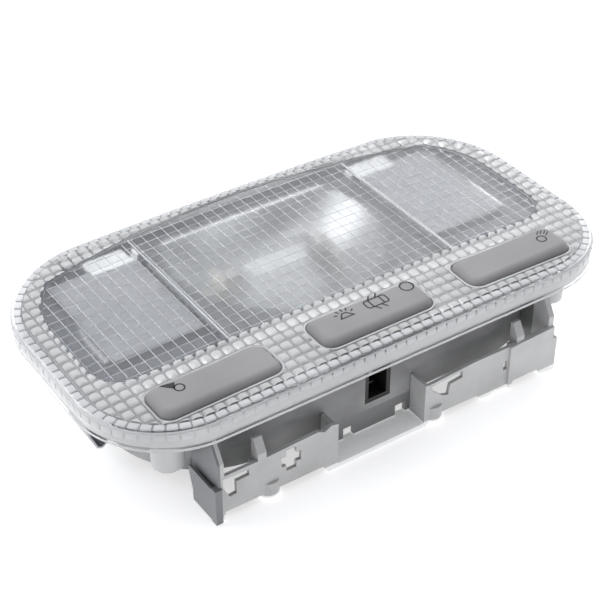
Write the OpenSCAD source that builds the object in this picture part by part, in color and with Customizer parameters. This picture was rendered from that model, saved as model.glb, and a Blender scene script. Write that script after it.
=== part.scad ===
// Car dome light: a clear lens over a moulded housing, with a courtesy lamp in the middle,
// a map lamp at each end and three keys along the front edge.
// X runs along the length, -Y is the key side, +Z is the face that looks into the cabin.
// The origin is under the middle of the lens, level with the lowest feet.

/* [Lens] */
// Length of the lens
lens_length = 187; // [184:0.5:192]
// Depth of the lens, from the key side to the far side
lens_depth = 100; // [98:0.5:103]
// Radius of the front corners of the lens, in plan
lens_front_corner = 31; // [28:1:36]
// Radius of the back corners of the lens, in plan
lens_back_corner = 36; // [32:1:42]
// Height of the lens face above the feet, at the middle
lens_face_z = 41.5; // [41:0.5:43]
// Rise of the lens face between its ends and its middle
lens_crown = 2; // [1:0.5:3]
// Wall of the lens
lens_wall = 2.4; // [2:0.1:2.8]
// Height of the lens skirt, from its lower edge to the face at the middle
skirt_height = 8; // [7.5:0.5:9]
// How far the lip along the lower edge of the skirt stands out
skirt_lip = 0.6; // [0.4:0.1:0.8]
// Height of that lip
skirt_lip_height = 0.9; // [0.6:0.1:1.4]
// Size of the step that softens the upper edge of the lens
edge_step = 0.7; // [0.4:0.1:1]

/* [Windows] */
// Length of the optic field, all three windows together
field_length = 172; // [169:0.5:173]
// Front edge of the optic field
field_front = -19.9; // [-20.4:0.1:-19]
// Back edge of the optic field at the middle
field_back = 44.6; // [43:0.1:45]
// Radius of the bow of that back edge
field_bow_r = 300; // [250:10:400]
// Front corner radius of the optic field
field_front_corner = 8; // [5:1:12]
// Back corner radius of the optic field
field_back_corner = 32; // [28:1:36]
// Distance from the middle of the lens to each window divider
divider_x = 42; // [41.6:0.1:43]
// Width of the ribs on the lens face
rib_width = 1.1; // [0.8:0.1:1.4]
// Height of the ribs on the lens face
rib_height = 0.7; // [0.4:0.1:1]
// Pitch of the bead rows round the lens
bead_pitch = 4.1; // [3.6:0.1:4.4]
// Width of the row of beads that follows the edge of the lens
edge_row = 3.1; // [2.8:0.1:3.4]
// Width of the groove between two bead rows
bead_groove = 0.5; // [0.3:0.1:0.8]
// Depth of the groove between two bead rows
bead_groove_depth = 0.5; // [0.3:0.1:0.7]

/* [Keys] */
// Length of a key
key_length = 39; // [36:1:41]
// Width of a key
key_width = 13.6; // [12.6:0.1:14.2]
// Corner radius of a key
key_corner = 5; // [3:0.5:6]
// Distance between the middles of two keys
key_pitch = 55; // [54:0.5:57]
// Where the row of keys lies
key_row_y = -34.95; // [-35.4:0.05:-34.5]
// Where the middle of the row of keys lies along the lens
key_row_x = -1.2; // [-1.5:0.1:0]
// Gap between a key and its opening in the lens
key_gap = 0.5; // [0.4:0.05:0.8]
// How far a key stands above the lens
key_proud = 2.4; // [2:0.1:3]
// Height of a key, from its top to its lower edge
key_height = 6.2; // [5.8:0.1:6.4]
// Side wall of a key
key_wall = 1.3; // [1.1:0.1:1.5]
// Top wall of a key
key_roof = 1.5; // [1.2:0.1:1.8]
// Width of the raised lip round each key opening
key_lip = 1; // [0.7:0.1:1.3]
// Radius of the stub pins that a key turns on
pivot_r = 1.2; // [1:0.05:1.3]
// Radial clearance of the stub pins
pivot_clearance = 0.05; // [0.03:0.01:0.1]
// Depth of the stub pins below the top of the key
pivot_drop = 4.8; // [4.6:0.05:4.9]
// Distance from the middle of a map lamp key to its pins, towards the middle of the lens
pivot_offset = 13; // [12:0.5:13.5]
// Length of the post that carries a key
post_length = 4.6; // [4:0.1:5]
// Side gap between the post and the key walls
post_gap = 0.4; // [0.3:0.05:0.6]

/* [Deck and tub] */
// Underside of the deck that carries the lens and the keys
deck_z = 33.7; // [33.6:0.1:33.9]
// Thickness of the deck
deck_thickness = 1.4; // [1.2:0.1:1.6]
// Gap between the deck edge and the inside of the skirt
deck_gap = 0.3; // [0.2:0.05:0.5]
// Length of the tub under the deck
tub_length = 154; // [150:1:155]
// Front face of the tub
tub_front = -39.6; // [-40:0.1:-39.2]
// Back face of the tub
tub_back = 40; // [39:0.1:41]
// Corner radius of the tub
tub_corner = 34; // [31:1:35]
// Lower edge of the tub walls
tub_bottom = 9.5; // [9:0.1:10]
// Wall of the tub
tub_wall = 1.6; // [1.4:0.1:1.8]
// Underside of the lamp floor
floor_z = 10.5; // [10.3:0.1:11]
// Thickness of the lamp floor
floor_thickness = 1.8; // [1.5:0.1:2]
// Front of the middle lamp chamber
middle_front = -22.5; // [-23:0.1:-21.5]
// Front of the end lamp chambers
end_front = -5; // [-5.5:0.1:-4]
// Thickness of the light shields that stand up to the lens
shield_wall = 0.8; // [0.6:0.1:1]
// Gap between the light shields and the lens
shield_gap = 0.3; // [0.2:0.05:0.5]

/* [Front frame] */
// Front face of the panels
panel_front = -47.6; // [-48:0.1:-47.2]
// Wall of the panels
panel_wall = 1.2; // [1:0.1:1.4]
// Upper edge of the panels
panel_top = 17.5; // [17:0.1:18.5]
// Lower edge of the panels
panel_bottom = 3; // [2.5:0.1:3.5]
// Distance from the middle of the frame to the inside of each end wall
end_wall_x = 61.5; // [60.5:0.1:62.5]
// Thickness of the end walls
end_wall = 2; // [1.6:0.1:2.4]
// Width of the slot beside each end wall
end_slot = 0.7; // [0.6:0.1:1]
// Thickness of the skin outside that slot
end_skin = 0.9; // [0.8:0.1:1.2]
// Height of that skin above the feet
end_skin_top = 12.8; // [11:0.1:14]
// Left side of the connector recess
recess_left = -21.2; // [-22:0.1:-20]
// Right side of the connector recess
recess_right = 11.8; // [11:0.1:13]
// Thickness of that ledge
ledge_thickness = 1.6; // [1.4:0.1:1.8]
// Lower end of the feet above the underside of the ledge
foot_z = 1.2; // [0.8:0.1:1.6]
// Radius of the feet under the panels
foot_r = 3.6; // [3:0.1:4.2]
// Left side of the connector window
socket_left = -5.6; // [-6.5:0.1:-5]
// Right side of the connector window
socket_right = 4; // [3.5:0.1:5]
// Lower edge of the connector window
socket_bottom = 12; // [11.5:0.1:13]
// Upper edge of the connector window
socket_top = 27; // [25:0.5:28]

/* [Screw bosses] */
// Distance from the middle of the lamp to each screw boss
boss_x = 72.4; // [72:0.1:73]
// Where the screw bosses lie
boss_y = -34.4; // [-35:0.1:-34]
// Outside radius of a screw boss
boss_r = 5; // [4.5:0.1:5.5]
// Radius of the hole in a screw boss
boss_hole_r = 2.1; // [1.8:0.1:2.4]
// Lower end of a screw boss
boss_bottom = 18.6; // [17:0.1:19.5]
// Thickness of the web beside a screw boss
boss_web = 2; // [1.6:0.1:2.4]

/* [Reflectors and diffusers] */
// Radius of the middle reflector at its rim
bowl_r = 37; // [35:0.5:38]
// Where the middle of the middle reflector lies, from front to back
bowl_y = 20; // [17:0.5:21]
// Lowest point of the inside of the middle reflector
bowl_bottom = 13.8; // [13.7:0.1:14.5]
// Wall of the reflectors
bowl_wall = 1.2; // [1:0.1:1.3]
// Radius of the end reflectors at their rim
cup_r = 30; // [28:0.5:32]
// Where the map lamp bulbs lie, from front to back
cup_y = 14; // [12:0.5:16]
// Distance from the frosted diffusers to the ends of the lens
diffuser_end_gap = 19.8; // [19.5:0.1:21]
// Depth of the frosted diffusers
diffuser_depth = 43.3; // [42:0.1:43.6]
// Inner edge of the frosted diffusers
diffuser_inner_x = 43.2; // [43:0.1:44]
// Front edge of the frosted diffusers
diffuser_front = -7.8; // [-8.5:0.1:-7]
// Thickness of the frosted diffusers
diffuser_wall = 1.4; // [1.2:0.1:1.6]
// Thickness of the flange round each reflector
flange_thickness = 0.8; // [0.6:0.1:1]
// How far the flange of an end reflector lies on the deck
flange_overlap = 0.3; // [0.2:0.05:0.4]
// How far the flange of the middle reflector lies on the deck
middle_flange_overlap = 0.6; // [0.4:0.1:0.8]
// Width of the lug that holds each diffuser down at the back
lug_width = 14.5; // [12:0.5:16]
// Thickness of the foot of that lug
lug_foot = 2.3; // [2:0.1:2.6]

/* [Bulbs and contacts] */
// Length of the festoon bulb between its tips
festoon_length = 41; // [38:0.5:42]
// Radius of the glass of the festoon bulb
festoon_r = 5.5; // [5:0.1:6]
// Height of the festoon bulb above the feet
festoon_z = 25.5; // [24.5:0.1:26.5]
// Radius of the glass of the wedge bulbs
wedge_r = 4.7; // [4.4:0.1:5]
// Radius of the body of a bulb holder
holder_r = 7.6; // [7.2:0.1:8]
// Thickness of the contact strips
strip_thickness = 0.8; // [0.6:0.1:0.9]
// Width of the contact strips
strip_width = 5; // [4:0.5:6]
// Thickness of the spring contacts
leaf_thickness = 0.5; // [0.4:0.05:0.6]
// Gap left between pieces that are put together
fit_gap = 0.2; // [0.15:0.05:0.3]

/* [End clips] */
// Width of the spring clips at the ends
clip_width = 12; // [10:0.5:14]
// Thickness of the spring clips
clip_thickness = 0.6; // [0.5:0.05:0.8]
// How far a spring clip stands out from the tub
clip_reach = 6.8; // [6:0.1:8]

/* [Hidden] */
$fn = 64;

// Overshoot that carries a cut clear of the face it starts on
eps = 0.5;
// Lower edge of the skirt
skirt_z = lens_face_z - skirt_height;
// Radius of the crowned face, from its rise over half the length
crown_r = (pow(lens_length / 2, 2) + pow(lens_crown, 2)) / (2 * lens_crown);
// Fineness of the crowned face, which is a very large and very shallow curve
crown_fn = 1440;
// Top of the deck
deck_top = deck_z + deck_thickness;
// Top of the reflector flanges
flange_top = deck_top + flange_thickness;
// Inset of the deck, which fits inside the skirt
deck_inset = lens_wall + skirt_lip + deck_gap;
// Top of the lamp floor
floor_top = floor_z + floor_thickness;
// Middle of the tub, from front to back
tub_y = (tub_front + tub_back) / 2;
tub_depth = tub_back - tub_front;
// Divider between two lamp chambers
divider_wall = tub_wall;
// Back of the lamp chambers
chamber_back = tub_back - tub_wall;
// Far side of each end wall
end_outer_x = end_wall_x + end_wall;
// Outside of the skin beside it
skin_outer_x = end_outer_x + end_slot + end_skin;
// Opening for a key in the lens
opening_length = key_length + 2 * key_gap;
opening_width = key_width + 2 * key_gap;
opening_corner = key_corner + key_gap;
// Posts carry the keys between their side walls
post_width = key_width - 2 * key_wall - 2 * post_gap;
// Distance from the middle of the lamp to the map lamp bulbs, half way along their chambers
cup_x = (divider_x + tub_length / 2) / 2 - 0.5;
// Width of the frosted diffusers
diffuser_width = lens_length / 2 - diffuser_end_gap - diffuser_inner_x;
// Back edge of the frosted diffusers, and their top
diffuser_back = diffuser_front + diffuser_depth;
diffuser_top = flange_top + diffuser_wall;
// Height of a festoon contact leaf
festoon_leaf_top = festoon_z + 4;
// Outline of a connector pin, and how far the pins stand back from the front of the tub
pin_width = 2.2;
pin_thickness = 0.8;
pin_length = 11;
pin_recess = 4;
pin_pitch = 3.6;
// Gap round a pin where it passes through the back of the connector
pin_gap = 0.05;
// Depth of the connector, and of the hollow that takes the plug
connector_depth = 12.8;
connector_hollow = 10.5;
connector_wall = 1.4;
// Distance from the middle of each key to the tail of its contact, from left to right
tail_from_key = [6.3, 7.7, -6.3];
// Number of straight grooves between the bead rows
bead_lines = floor((lens_depth - 2 * edge_row) / bead_pitch - 0.5);

// How far the crowned face has dropped at a distance from the middle
function crown_drop(x) = crown_r - sqrt(crown_r * crown_r - x * x);
// Place along the lens of the left, middle and right keys, which are -1, 0 and 1
function key_x(i) = key_row_x + i * key_pitch;
// Place along the lens of the contact tail of each of those keys
function tail_x(i) = key_x(i) + tail_from_key[i + 1];
// Height of the top of a key
function key_top_z(x) = lens_face_z - crown_drop(x) + key_proud;
// Height of the pins of a key
function pivot_z(x) = key_top_z(x) - pivot_drop;
// Height of a bowl with a given rim at a distance r from its middle
function bowl_z(r, low, rim_r, rim_z) = low + (rim_z - low) * pow(r / rim_r, 2);
// Direction of a step between two points of a bent strip
function unit(a, b) = (b - a) / norm(b - a);
function normal_at(path, i) =
    let (
        before = unit(path[max(i - 1, 0)], path[max(i, 1)]),
        after = unit(path[min(i, len(path) - 2)], path[min(i + 1, len(path) - 1)]),
        mid = (before + after) / norm(before + after)
    )
    [-mid[1], mid[0]] / max(0.5, mid * before);
// Outline of a strip of a given thickness bent along a path
function strip_outline(path, thickness) = concat(
    [for (i = [0 : len(path) - 1]) path[i] + normal_at(path, i) * thickness / 2],
    [for (i = [len(path) - 1 : -1 : 0]) path[i] - normal_at(path, i) * thickness / 2]);

// Plan of the lens, shrunk by a width
module lens_plan(inset) {
    two_corner_plan(lens_length / 2 - inset, -lens_depth / 2 + inset, lens_depth / 2 - inset,
        lens_front_corner - inset, lens_back_corner - inset);
}

// Plan with one radius at both front corners and another at both back corners
module two_corner_plan(half, front, back, front_r, back_r) {
    translate([-half + front_r, front]) square([2 * (half - front_r), front_r]);
    translate([-half, front + front_r]) square([2 * half, back - back_r - front - front_r]);
    translate([-half + back_r, back - back_r]) square([2 * (half - back_r), back_r]);
    for (x = [-1, 1]) {
        translate([x * (half - front_r), front + front_r]) circle(r = front_r, $fn = 96);
        translate([x * (half - back_r), back - back_r]) circle(r = back_r, $fn = 96);
    }
}

// Rounded slab standing on z = 0, centred on the origin
module slab(length, depth, corner, height) {
    linear_extrude(height) rounded_plan(length, depth, corner);
}

module rounded_plan(length, depth, corner) {
    square([length - 2 * corner, depth], center = true);
    square([length, depth - 2 * corner], center = true);
    for (x = [-1, 1], y = [-1, 1])
        translate([x * (length / 2 - corner), y * (depth / 2 - corner)])
            circle(r = corner, $fn = 96);
}

// Everything under the crowned face, when that face passes a given height at the middle
module under_crown(height) {
    translate([0, 0, height - crown_r])
        rotate([90, 0, 0])
            cylinder(r = crown_r, h = lens_depth + 20, center = true, $fn = crown_fn);
}

// Plan of the optic field: small corners at the front, large ones at the bowed back
module field_plan(grow) {
    intersection() {
        two_corner_plan(field_length / 2 + grow, field_front - grow, field_back + grow,
            field_front_corner + grow, field_back_corner + grow);
        translate([0, field_back - field_bow_r])
            circle(r = field_bow_r + grow, $fn = 720);
    }
}

// Plan of one key opening, grown by a width
module key_plan(grow) {
    rounded_plan(opening_length + 2 * grow, opening_width + 2 * grow, opening_corner + grow);
}

// Puts a shape at each of the three keys
module at_keys() {
    for (i = [-1 : 1]) translate([key_row_x + i * key_pitch, key_row_y]) children();
}

// A ridge of the lens face, which follows the crown
module crowned_rib() {
    intersection() {
        translate([0, 0, lens_face_z - lens_crown - lens_wall / 2])
            linear_extrude(lens_crown + lens_wall + 2)
                children();
        under_crown(lens_face_z + rib_height);
    }
}

module lens() color([0.86, 0.89, 0.93, 0.45])
    difference() {
        union() {
            // face and skirt, with a step that softens the edge between them
            intersection() {
                translate([0, 0, skirt_z])
                    linear_extrude(skirt_height + 1) lens_plan(skirt_lip + edge_step);
                under_crown(lens_face_z);
            }
            intersection() {
                translate([0, 0, skirt_z])
                    linear_extrude(skirt_height + 1) lens_plan(skirt_lip);
                under_crown(lens_face_z - edge_step);
            }
            // lip along the lower edge
            translate([0, 0, skirt_z]) linear_extrude(skirt_lip_height) lens_plan(0);
            // rib round the optic field, and the two dividers
            crowned_rib() difference() {
                field_plan(rib_width);
                field_plan(0);
            }
            crowned_rib() for (x = [-divider_x, divider_x])
                translate([x - rib_width / 2, field_front - rib_width / 2])
                    square([rib_width, field_back - field_front + rib_width]);
            // lips round the key openings
            crowned_rib() at_keys() key_plan(key_lip);
        }
        // hollow under the face
        intersection() {
            translate([0, 0, skirt_z - eps])
                linear_extrude(skirt_height) lens_plan(skirt_lip + lens_wall);
            under_crown(lens_face_z - lens_wall);
        }
        // key openings
        translate([0, 0, skirt_z])
            linear_extrude(skirt_height + 4) at_keys() key_plan(0);
        // grooves between the rows of beads
        bead_grooves();
    }

// Grooves between the bead rows: one that follows the edge, and straight ones inside it
module bead_grooves() {
    difference() {
        translate([0, 0, lens_face_z - lens_crown - bead_groove_depth - 1])
            linear_extrude(lens_crown + 6) difference() {
                union() {
                    difference() {
                        lens_plan(edge_row);
                        lens_plan(edge_row + bead_groove);
                    }
                    intersection() {
                        lens_plan(edge_row);
                        for (i = [1 : bead_lines])
                            translate([0, -lens_depth / 2 + edge_row + i * bead_pitch])
                                square([lens_length, bead_groove], center = true);
                    }
                }
                field_plan(rib_width);
                at_keys() key_plan(key_lip);
            }
        under_crown(lens_face_z - bead_groove_depth);
    }
}

// Plan of the tub, shrunk by a width
module tub_plan(inset) {
    translate([0, tub_y])
        rounded_plan(tub_length - 2 * inset, tub_depth - 2 * inset, tub_corner - inset);
}

// Plan of the middle lamp chamber
module middle_plan(inset) {
    intersection() {
        tub_plan(tub_wall + inset);
        translate([-divider_x + divider_wall / 2 + inset, middle_front + inset])
            square([2 * divider_x - divider_wall - 2 * inset, chamber_back - middle_front]);
    }
}

// Plan of the right-hand lamp chamber
module end_plan(inset) {
    intersection() {
        tub_plan(tub_wall + inset);
        translate([divider_x + divider_wall / 2 + inset, end_front + inset])
            square([tub_length, chamber_back - end_front]);
    }
}

// The key post: a block with the bore that the stub pins turn in
module key_post(key_x, post_x) {
    pin_z = pivot_z(key_x);
    translate([post_x, key_row_y, 0]) difference() {
        translate([-post_length / 2, -post_width / 2, deck_top])
            cube([post_length, post_width, pin_z + pivot_r + 1 - deck_top]);
        translate([0, 0, pin_z]) rotate([90, 0, 0])
            cylinder(r = pivot_r + pivot_clearance, h = post_width + 2, center = true);
    }
}

// Plan of all three lamp chambers
module chamber_plans() {
    middle_plan(0);
    end_plan(0);
    mirror([1, 0]) end_plan(0);
}

// Deck with its chamber openings, and the light shields that stand up to the lens
module deck() {
    difference() {
        translate([0, 0, deck_z]) linear_extrude(deck_thickness) lens_plan(deck_inset);
        translate([0, 0, deck_z - eps]) linear_extrude(deck_thickness + 2 * eps)
            chamber_plans();
    }
    intersection() {
        translate([0, 0, deck_z])
            linear_extrude(lens_face_z - deck_z) for (x = [-1, 1])
                translate([x * divider_x - shield_wall / 2, middle_front])
                    square([shield_wall, chamber_back - middle_front]);
        under_crown(lens_face_z - lens_wall - shield_gap);
    }
}

// Outer wall of the tub, with the window for the connector
module tub() {
    difference() {
        translate([0, 0, tub_bottom]) linear_extrude(deck_z - tub_bottom) difference() {
            tub_plan(0);
            tub_plan(tub_wall);
        }
        translate([socket_left, tub_front - eps, socket_bottom])
            cube([socket_right - socket_left, tub_wall + 2 * eps, socket_top - socket_bottom]);
    }
}

// Lamp tray: the floor of the lamp chambers and the walls between them
module lamp_tray() color([0.74, 0.75, 0.76])
    difference() {
        translate([0, 0, floor_z]) linear_extrude(deck_z - floor_z) intersection() {
            tub_plan(tub_wall);
            union() {
                translate([-divider_x - divider_wall / 2, middle_front - tub_wall])
                    square([2 * divider_x + divider_wall, tub_back - middle_front + tub_wall]);
                for (x = [0, 1]) mirror([x, 0])
                    translate([divider_x - divider_wall / 2, end_front - tub_wall])
                        square([tub_length, tub_back - end_front + tub_wall]);
            }
        }
        translate([0, 0, floor_top]) linear_extrude(deck_z - floor_top + eps) chamber_plans();
        // holes for the bulb holders
        for (x = [-cup_x, cup_x]) translate([x, cup_y, floor_z - 1])
            cylinder(r = holder_r + fit_gap, h = floor_thickness + 2);
    }

// Screw boss under the deck, with a web back to the wall of the tub
module screw_boss() {
    to_corner = [tub_length / 2 - tub_corner - boss_x, tub_front + tub_corner - boss_y];
    web_angle = atan2(to_corner[1], to_corner[0]);
    web_length = norm(to_corner) - tub_corner;
    translate([boss_x, boss_y, boss_bottom]) difference() {
        union() {
            cylinder(r = boss_r, h = deck_z - boss_bottom + eps);
            rotate([0, 0, web_angle]) translate([0, -boss_web / 2, 0])
                cube([web_length, boss_web, deck_z - boss_bottom + eps]);
        }
        translate([0, 0, -eps]) cylinder(r = boss_hole_r, h = deck_top - boss_bottom);
    }
}

// Side of the frame, drawn in y and z and given its thickness along x
module side_plate(x, thickness, outline) {
    translate([x, 0, 0]) rotate([90, 0, 90]) linear_extrude(thickness) polygon(outline);
}

// Front wall of the frame, drawn in x and z and given its thickness along y
module front_plate(front, thickness, outline) {
    translate([0, front + thickness, 0]) rotate([90, 0, 0])
        linear_extrude(thickness) polygon(outline);
}

// End wall of the front frame, with the skin and the slot outside it
module frame_end() {
    reach_y = boss_y + 2;
    side_plate(end_wall_x, end_wall, [[panel_front, 0], [-34.6, 0], [-34.6, 4.5],
        [reach_y, 11], [reach_y, deck_z], [panel_front + 7, deck_z], [panel_front, 22]]);
    side_plate(end_outer_x + end_slot, end_skin, [[panel_front, 0.4], [-35.2, 0.4], [-35.2, 4.5],
        [-33.4, 10], [-33.4, end_skin_top], [panel_front, end_skin_top]]);
    // web under the slot, and the rib down the front corner
    translate([end_outer_x - eps, panel_front, 0.4])
        cube([end_slot + 2 * eps, -panel_front - 35.2, 1.2]);
    translate([end_outer_x - 1, panel_front - 0.8, 0])
        cube([skin_outer_x - end_outer_x + 1, 2.6, end_skin_top + 0.4]);
}

// Snap hook on the upper edge of a panel
module snap_hook(x) {
    side_plate(x - 1.5, 3, [[panel_front, panel_top - 2], [panel_front + 3.6, panel_top - 2],
        [panel_front + 3.6, 23.9], [panel_front + 2.6, 23.9], [panel_front, 19.5]]);
    translate([x - 2.5, panel_front, panel_top - 3]) cube([5, 3.6, 1.4]);
}

// Foot under a panel
module foot(x) {
    translate([x, panel_front + foot_r - 1, foot_z])
        cylinder(r = foot_r, h = panel_bottom + 3.5 - foot_z);
}

// Front frame: two pierced panels, the recess between them and the end walls
module front_frame() color([0.74, 0.75, 0.76])
    difference() {
        union() {
            front_plate(panel_front, panel_wall, [[-end_outer_x, panel_bottom],
                [recess_left - 5.5, panel_bottom], [recess_left - 3.4, 0],
                [recess_left - 0.6, 0], [recess_left, ledge_thickness / 2],
                [recess_left, panel_top], [recess_left - 2.5, panel_top + 0.6],
                [recess_left - 5, panel_top - 0.8], [recess_left - 7.5, panel_top + 0.4],
                [-48, panel_top - 0.4], [-end_outer_x, panel_top - 0.3]]);
            front_plate(panel_front, panel_wall, [[recess_right, 0],
                [19, panel_bottom], [33, panel_bottom - 0.3], [35.2, 0.6], [38.6, 0.6],
                [40, panel_bottom - 1.2], [43.4, 1], [46.4, 0.8], [47.6, panel_bottom],
                [end_outer_x - 5.6, panel_bottom], [end_outer_x - 4.6, 0.6],
                [end_outer_x, 0], [end_outer_x, panel_top + 0.6], [45, panel_top - 0.2],
                [32, panel_top], [recess_right + 1.4, panel_top - 1.2],
                [recess_right, panel_top - 2.6]]);
            // right-hand half of the right panel stands a little forward
            front_plate(panel_front - 0.8, 1.2, [[45.4, 0.9], [46.4, 0.8],
                [47.6, panel_bottom], [end_outer_x - 5.6, panel_bottom],
                [end_outer_x - 4.6, 0.6], [end_outer_x, 0],
                [end_outer_x, panel_top + 0.6], [45.4, panel_top - 0.2]]);
            foot(-45);
            foot(16.4);
            snap_hook(-48.4);
            snap_hook(49.8);
            frame_end();
            mirror([1, 0, 0]) frame_end();
            // ledge and side walls of the recess
            translate([recess_left - panel_wall, panel_front, 0])
                cube([recess_right - recess_left + 2 * panel_wall, tub_front - panel_front + 1,
                    ledge_thickness]);
            for (x = [recess_left - panel_wall, recess_right])
                translate([x, panel_front, 0])
                    cube([panel_wall, tub_front - panel_front + 1, panel_top - 1]);
            // back wall of the recess
            difference() {
                translate([recess_left - panel_wall, tub_front, 0])
                    cube([recess_right - recess_left + 2 * panel_wall, tub_wall, tub_bottom]);
                for (x = [-13.6, 6.4]) translate([x, tub_front - eps, ledge_thickness])
                    cube([4, tub_wall + 2 * eps, 4.2]);
            }
        }
        // windows in the panels
        front_plate(panel_front - 2, panel_wall + 4, [[-62, 16], [-53, 15.6], [-53, 13.4],
            [-57.4, 13.2], [-57.4, 8.6], [-59.8, 8.4], [-62, 13]]);
        front_plate(panel_front - 2, panel_wall + 4, [[14.4, 15.2], [19, 15.6], [26.4, 16.2],
            [26.5, 13.6], [21.6, 13], [21, 9], [18.6, 9.8], [14.8, 13.2]]);
        for (size = [[3.6, 8], [7, 3.6]])
            translate([-38.2 - size[0] / 2, panel_front - 1, 12.2 - size[1] / 2])
                cube([size[0], panel_wall + 2, size[1]]);
        translate([43.4, panel_front - 2, 8.5]) cube([1.6, panel_wall + 4, 3.6]);
        // the frame ends where it meets the tub
        translate([0, 0, tub_bottom]) linear_extrude(deck_z) tub_plan(0);
    }

// Legs and hooks along the back of the tub
module back_leg() {
    leg_left = 24;
    leg_right = 40;
    translate([leg_left, tub_back - tub_wall, 0])
        cube([leg_right - leg_left, tub_wall, floor_z + eps]);
    for (x = [leg_left, leg_right - tub_wall])
        side_plate(x, tub_wall, [[tub_back - 12, floor_z], [tub_back - 4, 4],
            [tub_back - 4, 0], [tub_back, 0], [tub_back, floor_z]]);
    side_plate(leg_left + 6, 4, [[tub_back - eps, 17], [tub_back, 17], [tub_back + 1.8, 20],
        [tub_back + 1.8, 21], [tub_back - eps, 26]]);
}

// Lug behind a diffuser: a foot on the deck and a head that reaches over the flange
module diffuser_lug() {
    lug_front = diffuser_back + fit_gap;
    lug_back = (lug_front + lens_depth / 2 - skirt_lip - lens_wall) / 2;
    translate([diffuser_inner_x + diffuser_wall, 0, 0]) difference() {
        translate([0, lug_front, deck_top - eps])
            cube([lug_width, lug_back - lug_front, diffuser_top - deck_top + eps]);
        translate([-1, lug_front - 1, deck_top - 2 * eps])
            cube([lug_width + 2, lug_back - lug_foot - lug_front + 1,
                flange_thickness + fit_gap + 2 * eps]);
    }
}

module housing() color([0.74, 0.75, 0.76]) {
    tub();
    back_leg();
    mirror([1, 0, 0]) back_leg();
}

module deck_plate() color([0.74, 0.75, 0.76])
    difference() {
        union() {
            deck();
            screw_boss();
            mirror([1, 0, 0]) screw_boss();
            key_post(key_x(0), key_x(0));
            key_post(key_x(1), key_x(1) - pivot_offset);
            key_post(key_x(-1), key_x(-1) + pivot_offset);
            diffuser_lug();
            mirror([1, 0, 0]) diffuser_lug();
        }
        // screw holes run on through the deck
        for (x = [-boss_x, boss_x]) translate([x, boss_y, boss_bottom - 1])
            cylinder(r = boss_hole_r, h = deck_top - boss_bottom + 2);
        // slots that the key contacts pass through
        for (x = [tail_x(-1), tail_x(0), tail_x(1)])
            translate([x - 0.7, key_row_y - 2.3, deck_z - 1]) cube([1.4, 4.6, deck_thickness + 2]);
    }

// The space above a bowl, up to a height over its rim
module bowl_space(low, rim_r, rim_z, steps) {
    rotate_extrude($fn = 96)
        polygon(concat([for (i = [0 : steps])
            [rim_r * i / steps, bowl_z(rim_r * i / steps, low, rim_r, rim_z)]],
            [[0, rim_z]]));
}

// Middle reflector: a bowl cut square where the chamber walls meet it, with a flange round it
module reflector_middle() color([0.86, 0.87, 0.89])
    difference() {
        union() {
            intersection() {
                translate([0, bowl_y, 0])
                    bowl_space(bowl_bottom - bowl_wall, bowl_r + bowl_wall, flange_top, 14);
                linear_extrude(flange_top) middle_plan(fit_gap);
            }
            translate([-divider_x + middle_flange_overlap,
                middle_front - 2 * middle_flange_overlap, deck_top])
                cube([2 * (divider_x - middle_flange_overlap),
                    chamber_back - middle_front + 3 * middle_flange_overlap,
                    flange_thickness]);
        }
        intersection() {
            translate([0, bowl_y, 0]) union() {
                bowl_space(bowl_bottom, bowl_r, flange_top, 14);
                translate([0, 0, flange_top - 0.1]) cylinder(r = bowl_r, h = 2, $fn = 96);
            }
            linear_extrude(deck_top + 3) middle_plan(fit_gap + bowl_wall);
        }
        // slots for the bulb contacts
        for (x = [-1, 1])
            translate([x * (festoon_length / 2 + leaf_thickness / 2) - 1.2, bowl_y - 4.6,
                floor_z]) cube([2.4, 9.2, 20]);
    }

// End reflector for a map lamp
module end_reflector() {
    cup_low = floor_top + fit_gap + bowl_wall;
    difference() {
        union() {
            intersection() {
                translate([cup_x, cup_y, 0])
                    bowl_space(cup_low - bowl_wall, cup_r + bowl_wall, flange_top, 12);
                linear_extrude(flange_top) end_plan(fit_gap);
            }
            translate([0, 0, deck_top]) linear_extrude(flange_thickness)
                end_plan(-flange_overlap);
        }
        intersection() {
            translate([cup_x, cup_y, 0]) union() {
                bowl_space(cup_low, cup_r, flange_top, 12);
                translate([0, 0, flange_top - 0.1]) cylinder(r = cup_r, h = 2, $fn = 96);
            }
            linear_extrude(deck_top + 3) end_plan(fit_gap + bowl_wall);
        }
        translate([cup_x, cup_y, floor_z])
            cylinder(r = holder_r + 2 * fit_gap, h = 12);
    }
}

module reflector_right() color([0.86, 0.87, 0.89]) end_reflector();

module reflector_left() color([0.86, 0.87, 0.89]) mirror([1, 0, 0]) end_reflector();

// Frosted diffuser: a plate on the reflector's flange, its front edge turned down to the deck
module end_diffuser() {
    translate([diffuser_inner_x, diffuser_front, deck_top]) {
        translate([0, 0, flange_thickness])
            cube([diffuser_width, diffuser_depth, diffuser_wall]);
        cube([diffuser_width, diffuser_wall, flange_thickness + eps]);
    }
}

module diffuser_right() color([0.78, 0.79, 0.84, 0.8]) end_diffuser();

module diffuser_left() color([0.78, 0.79, 0.84, 0.8]) mirror([1, 0, 0]) end_diffuser();

// Festoon bulb: a glass tube between two metal caps
module bulb_middle() color([0.9, 0.92, 0.95, 0.5])
    translate([0, bowl_y, festoon_z]) rotate([0, 90, 0])
        cylinder(r = festoon_r, h = festoon_length - 12, center = true);

module bulb_middle_caps() color([0.8, 0.8, 0.78])
    translate([0, bowl_y, festoon_z]) for (side = [0, 1]) mirror([side, 0, 0])
        rotate([0, 90, 0]) rotate_extrude()
            polygon([[0, festoon_length / 2 - 6], [4, festoon_length / 2 - 6],
                [4, festoon_length / 2 - 2.2], [1.2, festoon_length / 2 - 0.2],
                [1.2, festoon_length / 2 + 0.4], [0, festoon_length / 2 + 0.4]]);

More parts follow.
